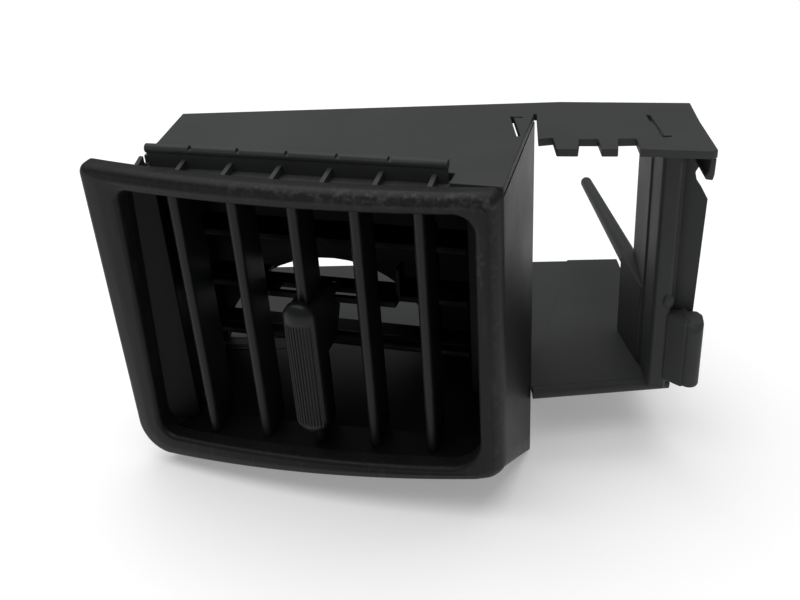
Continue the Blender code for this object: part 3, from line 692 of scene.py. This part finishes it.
def knob_place(across, up):
    """Place on the knob's face from two shares between -1 and 1."""
    half_height = (KNOB_TOP - KNOB_FOOT) / 2
    share = math.copysign(1 - (1 - abs(up)) ** ROWS_TO_ENDS, up)
    height = share * half_height
    into_corner = max(0.0, abs(height) - (half_height - KNOB_CORNER))
    half = KNOB_HALF - KNOB_CORNER + math.sqrt(max(0.0, KNOB_CORNER ** 2 - into_corner ** 2))
    width = across * half
    depth = KNOB_FRONT + KNOB_CROWN * (1 - math.sqrt(1 - (CROWN_SHARE * across) ** 2))
    to_end = min(1.0, (half_height - abs(height)) / KNOB_END)
    depth += (KNOB_BACK - KNOB_RIM - depth) * (1 - math.sqrt(max(0.0, 1 - (1 - to_end) ** 2)))
    grooved = eased((half_height - SMOOTH_TOP - height) / GROOVE_RUN_OUT)
    grooved *= eased((half_height - SMOOTH_FOOT + height) / GROOVE_RUN_OUT)
    grooved *= eased((KNOB_HALF - SMOOTH_SIDE - abs(width)) / SIDE_RUN_OUT)
    wave = 0.5 + 0.5 * math.cos(2 * math.pi * width / GROOVE_PITCH)
    depth += GROOVE_DEPTH * grooved * wave ** 1.5
    return in_vent(KNOB_AT.x + width, KNOB_AT.y + depth, (KNOB_TOP + KNOB_FOOT) / 2 + height)


def make_knob():
    """The grooved capsule as one closed mesh."""
    bm = bmesh.new()
    bmesh.ops.create_grid(bm, x_segments=KNOB_COLUMNS, y_segments=KNOB_ROWS, size=1.0)
    for vert in bm.verts:
        vert.co = knob_place(vert.co.x, vert.co.y)
    rim = [edge for edge in bm.edges if edge.is_boundary]
    made = bmesh.ops.extrude_edge_only(bm, edges=rim)["geom"]
    for vert in (item for item in made if isinstance(item, bmesh.types.BMVert)):
        local = vent.inverted() @ vert.co / MM
        vert.co = in_vent(local.x, KNOB_AT.y + KNOB_BACK, local.z)
    bmesh.ops.holes_fill(bm, edges=[edge for edge in bm.edges if edge.is_boundary], sides=0)
    return finish_piece("grip_knob", bm, ["thumb_knob"], smooth=50.0)


grip_knob = make_knob()
print("made the knob with", len(grip_knob.data.polygons), "faces")

# %% [markdown]
# The vent stands on a plain white table. The table glows very faintly, which stands for the light
# that a white room throws about, and keeps the shadows under black plastic soft.

# %% The table
TABLE_SIZE = 12.0
TABLE_WHITE = (0.80, 0.80, 0.80)
TABLE_BRIGHT = (0.86, 0.86, 0.855)
TABLE_WAVES = 6.0
TABLE_ROUGHNESS = 0.6
TABLE_GLOW = 0.27


def make_table():
    """A large pale table top, slightly mottled."""
    made = bpy.data.materials.new("table_white")
    made.use_nodes = True
    Wire.tree = made.node_tree
    shader = made.node_tree.nodes["Principled BSDF"]
    mottle = noise(Wire.node("ShaderNodeTexCoord", output="Object"), TABLE_WAVES, 3.0)
    colours = mixed(mottle, TABLE_WHITE, TABLE_BRIGHT)
    made.node_tree.links.new(colours.socket, shader.inputs["Base Color"])
    shader.inputs["Roughness"].default_value = TABLE_ROUGHNESS
    shader.inputs["Emission Color"].default_value = (1.0, 1.0, 1.0, 1.0)
    shader.inputs["Emission Strength"].default_value = TABLE_GLOW
    bm = bmesh.new()
    bmesh.ops.create_grid(bm, x_segments=4, y_segments=4, size=TABLE_SIZE)
    mesh = bpy.data.meshes.new("table")
    bm.to_mesh(mesh)
    bm.free()
    mesh.materials.append(made)
    table = bpy.data.objects.new("table", mesh)
    bpy.context.scene.collection.objects.link(table)


make_table()
print("laid the table", 2 * TABLE_SIZE, "m wide")

# %% [markdown]
# One broad soft lamp hangs high up, a little to the left and behind, and a pale room surrounds
# everything, so that the rounded black edges mirror it at a grazing angle.

# %% The light
LAMP_AT = Vector((-0.15, 0.10, 1.3))
LAMP_SIZE = 1.8
LAMP_POWER = 21.0
ROOM_STRENGTH = 0.25


def make_lamp():
    """A square soft lamp that is turned towards the origin."""
    lamp = bpy.data.lights.new("ceiling_light", "AREA")
    lamp.shape = "SQUARE"
    lamp.size = LAMP_SIZE
    lamp.energy = LAMP_POWER
    light = bpy.data.objects.new("ceiling_light", lamp)
    light.location = LAMP_AT
    light.rotation_mode = "QUATERNION"
    light.rotation_quaternion = (-LAMP_AT).to_track_quat("-Z", "Y")
    bpy.context.scene.collection.objects.link(light)


def make_room():
    """An even white surrounding, shown without a film curve."""
    world = bpy.data.worlds.new("room")
    world.use_nodes = True
    background = world.node_tree.nodes["Background"]
    background.inputs["Color"].default_value = (1.0, 1.0, 1.0, 1.0)
    background.inputs["Strength"].default_value = ROOM_STRENGTH
    bpy.context.scene.world = world
    bpy.context.scene.view_settings.view_transform = "Standard"


make_lamp()
make_room()
print("hung the lamp", round(LAMP_AT.length, 2), "m away")

# %% [markdown]
# The camera looks down from the front, a little from the right, with a slight roll. Its matrix is
# written as its own right, up and back directions, which keep that roll.

# %% The camera
CAMERA_AT = Vector((0.01645, -0.24595, 0.17360))
CAMERA_RIGHT = Vector((0.99717, 0.04262, -0.06192))
CAMERA_UP = Vector((0.03215, 0.50279, 0.86381))
CAMERA_BACK = Vector((0.06795, -0.86336, 0.5))
camera_data = bpy.data.cameras.new("camera")
camera_data.lens = 45.0
camera_data.sensor_width = 36.0
camera_data.clip_start = 0.01
camera = bpy.data.objects.new("camera", camera_data)
turned = Matrix((CAMERA_RIGHT, CAMERA_UP, CAMERA_BACK)).transposed().to_4x4()
camera.matrix_world = Matrix.Translation(CAMERA_AT) @ turned
bpy.context.scene.collection.objects.link(camera)
bpy.context.scene.camera = camera
print("camera", [round(v, 3) for v in camera.location])
